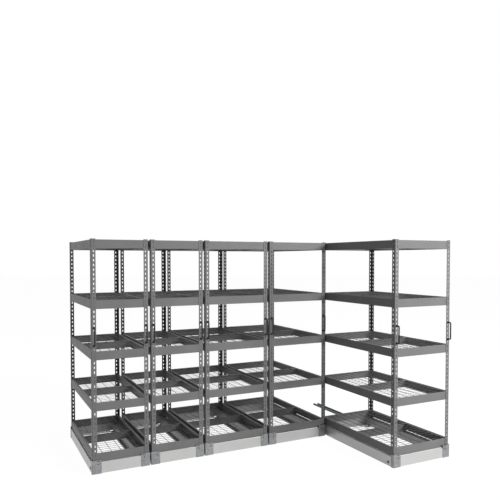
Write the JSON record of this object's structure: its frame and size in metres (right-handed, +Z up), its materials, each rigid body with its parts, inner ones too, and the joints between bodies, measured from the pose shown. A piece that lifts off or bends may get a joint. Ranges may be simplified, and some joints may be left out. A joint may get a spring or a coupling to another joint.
{
  "type": "pull-out shelving carriages",
  "caption": "Row of open steel shelf carriages with wire decks on low wheeled bases, each sliding out along a pair of floor channels by two pull handles.",
  "frame": {"origin": "centre of the row's footprint on the floor, with the last carriage pulled out", "axes": "+X along the row to the right, +Y from the front to the back, +Z up"},
  "size_m": [2.936, 2.11, 1.937],
  "materials": {
    "grey_paint": "semi-gloss dark grey powder coat",
    "satin_aluminium": "satin",
    "track_paint": "dark slate, scuffed",
    "wheel_steel": "turned steel",
    "wheel_tyre": "matt moulded tyre"
  },
  "bodies": {
    "floor_tracks": {"carriage_1_tracks": "track_paint", "carriage_2_tracks": "track_paint", "carriage_3_tracks": "track_paint", "carriage_4_tracks": "track_paint", "carriage_5_tracks": "track_paint"},
    "carriage_1": {"carriage_1_base": "satin_aluminium", "carriage_1_post_front_left": "grey_paint", "carriage_1_post_front_right": "grey_paint", "carriage_1_post_rear_left": "grey_paint", "carriage_1_post_rear_right": "grey_paint", "carriage_1_shelf_2": "grey_paint", "carriage_1_shelf_3": "grey_paint", "carriage_1_shelf_4": "grey_paint", "carriage_1_shelf_5": "grey_paint"},
    "front_wheels_1": {"carriage_1_front_wheels": "wheel_tyre"},
    "rear_wheels_1": {"carriage_1_rear_wheels": "wheel_steel"},
    "carriage_2": {"carriage_2_base": "satin_aluminium", "carriage_2_post_front_left": "grey_paint", "carriage_2_post_front_right": "grey_paint", "carriage_2_post_rear_left": "grey_paint", "carriage_2_post_rear_right": "grey_paint", "carriage_2_shelf_2": "grey_paint", "carriage_2_shelf_3": "grey_paint", "carriage_2_shelf_4": "grey_paint", "carriage_2_shelf_5": "grey_paint"},
    "front_wheels_2": {"carriage_2_front_wheels": "wheel_tyre"},
    "rear_wheels_2": {"carriage_2_rear_wheels": "wheel_steel"},
    "carriage_3": {"carriage_3_base": "satin_aluminium", "carriage_3_post_front_left": "grey_paint", "carriage_3_post_front_right": "grey_paint", "carriage_3_post_rear_left": "grey_paint", "carriage_3_post_rear_right": "grey_paint", "carriage_3_shelf_2": "grey_paint", "carriage_3_shelf_3": "grey_paint", "carriage_3_shelf_4": "grey_paint", "carriage_3_shelf_5": "grey_paint"},
    "front_wheels_3": {"carriage_3_front_wheels": "wheel_tyre"},
    "rear_wheels_3": {"carriage_3_rear_wheels": "wheel_steel"},
    "carriage_4": {"carriage_4_base": "satin_aluminium", "carriage_4_post_front_left": "grey_paint", "carriage_4_post_front_right": "grey_paint", "carriage_4_post_rear_left": "grey_paint", "carriage_4_post_rear_right": "grey_paint", "carriage_4_shelf_2": "grey_paint", "carriage_4_shelf_3": "grey_paint", "carriage_4_shelf_4": "grey_paint", "carriage_4_shelf_5": "grey_paint"},
    "front_wheels_4": {"carriage_4_front_wheels": "wheel_tyre"},
    "rear_wheels_4": {"carriage_4_rear_wheels": "wheel_steel"},
    "carriage_5": {"carriage_5_base": "satin_aluminium", "carriage_5_post_front_left": "grey_paint", "carriage_5_post_front_right": "grey_paint", "carriage_5_post_rear_left": "grey_paint", "carriage_5_post_rear_right": "grey_paint", "carriage_5_shelf_2": "grey_paint", "carriage_5_shelf_3": "grey_paint", "carriage_5_shelf_4": "grey_paint", "carriage_5_shelf_5": "grey_paint"},
    "front_wheels_5": {"carriage_5_front_wheels": "wheel_tyre"},
    "rear_wheels_5": {"carriage_5_rear_wheels": "wheel_steel"}
  },
  "joints": [
    {"name": "carriage_1_slide", "type": "slide", "parent": "floor_tracks", "child": "carriage_1", "axis": [0, -1, 0], "range_m": [0, 0.99]},
    {"name": "front_wheels_1_roll", "type": "hinge", "parent": "carriage_1", "child": "front_wheels_1", "pos_m": [-1.2235, 0.035, 0.044], "axis": [1, 0, 0], "range_deg": [0, 1290]},
    {"name": "rear_wheels_1_roll", "type": "hinge", "parent": "carriage_1", "child": "rear_wheels_1", "pos_m": [-1.2235, 0.999, 0.0283], "axis": [1, 0, 0], "range_deg": [0, 2270]},
    {"name": "carriage_2_slide", "type": "slide", "parent": "floor_tracks", "child": "carriage_2", "axis": [0, -1, 0], "range_m": [0, 0.99]},
    {"name": "front_wheels_2_roll", "type": "hinge", "parent": "carriage_2", "child": "front_wheels_2", "pos_m": [-0.7265, 0.035, 0.044], "axis": [1, 0, 0], "range_deg": [0, 1290]},
    {"name": "rear_wheels_2_roll", "type": "hinge", "parent": "carriage_2", "child": "rear_wheels_2", "pos_m": [-0.7265, 0.999, 0.0283], "axis": [1, 0, 0], "range_deg": [0, 2270]},
    {"name": "carriage_3_slide", "type": "slide", "parent": "floor_tracks", "child": "carriage_3", "axis": [0, -1, 0], "range_m": [0, 0.99]},
    {"name": "front_wheels_3_roll", "type": "hinge", "parent": "carriage_3", "child": "front_wheels_3", "pos_m": [-0.153, 0.035, 0.044], "axis": [1, 0, 0], "range_deg": [0, 1290]},
    {"name": "rear_wheels_3_roll", "type": "hinge", "parent": "carriage_3", "child": "rear_wheels_3", "pos_m": [-0.153, 0.999, 0.0283], "axis": [1, 0, 0], "range_deg": [0, 2270]},
    {"name": "carriage_4_slide", "type": "slide", "parent": "floor_tracks", "child": "carriage_4", "axis": [0, -1, 0], "range_m": [0, 0.99]},
    {"name": "front_wheels_4_roll", "type": "hinge", "parent": "carriage_4", "child": "front_wheels_4", "pos_m": [0.497, 0.035, 0.044], "axis": [1, 0, 0], "range_deg": [0, 1290]},
    {"name": "rear_wheels_4_roll", "type": "hinge", "parent": "carriage_4", "child": "rear_wheels_4", "pos_m": [0.497, 0.999, 0.0283], "axis": [1, 0, 0], "range_deg": [0, 2270]},
    {"name": "carriage_5_slide", "type": "slide", "parent": "floor_tracks", "child": "carriage_5", "axis": [0, -1, 0], "range_m": [-0.99, 0]},
    {"name": "front_wheels_5_roll", "type": "hinge", "parent": "carriage_5", "child": "front_wheels_5", "pos_m": [1.147, -0.955, 0.044], "axis": [1, 0, 0], "range_deg": [-1290, 0]},
    {"name": "rear_wheels_5_roll", "type": "hinge", "parent": "carriage_5", "child": "rear_wheels_5", "pos_m": [1.147, 0.009, 0.0283], "axis": [1, 0, 0], "range_deg": [-2270, 0]}
  ],
  "couplings": [
    {"joint": "front_wheels_1_roll", "follows": "carriage_1_slide", "rad_per_m": 22.727},
    {"joint": "rear_wheels_1_roll", "follows": "carriage_1_slide", "rad_per_m": 40},
    {"joint": "front_wheels_2_roll", "follows": "carriage_2_slide", "rad_per_m": 22.727},
    {"joint": "rear_wheels_2_roll", "follows": "carriage_2_slide", "rad_per_m": 40},
    {"joint": "front_wheels_3_roll", "follows": "carriage_3_slide", "rad_per_m": 22.727},
    {"joint": "rear_wheels_3_roll", "follows": "carriage_3_slide", "rad_per_m": 40},
    {"joint": "front_wheels_4_roll", "follows": "carriage_4_slide", "rad_per_m": 22.727},
    {"joint": "rear_wheels_4_roll", "follows": "carriage_4_slide", "rad_per_m": 40},
    {"joint": "front_wheels_5_roll", "follows": "carriage_5_slide", "rad_per_m": 22.727},
    {"joint": "rear_wheels_5_roll", "follows": "carriage_5_slide", "rad_per_m": 40}
  ]
}
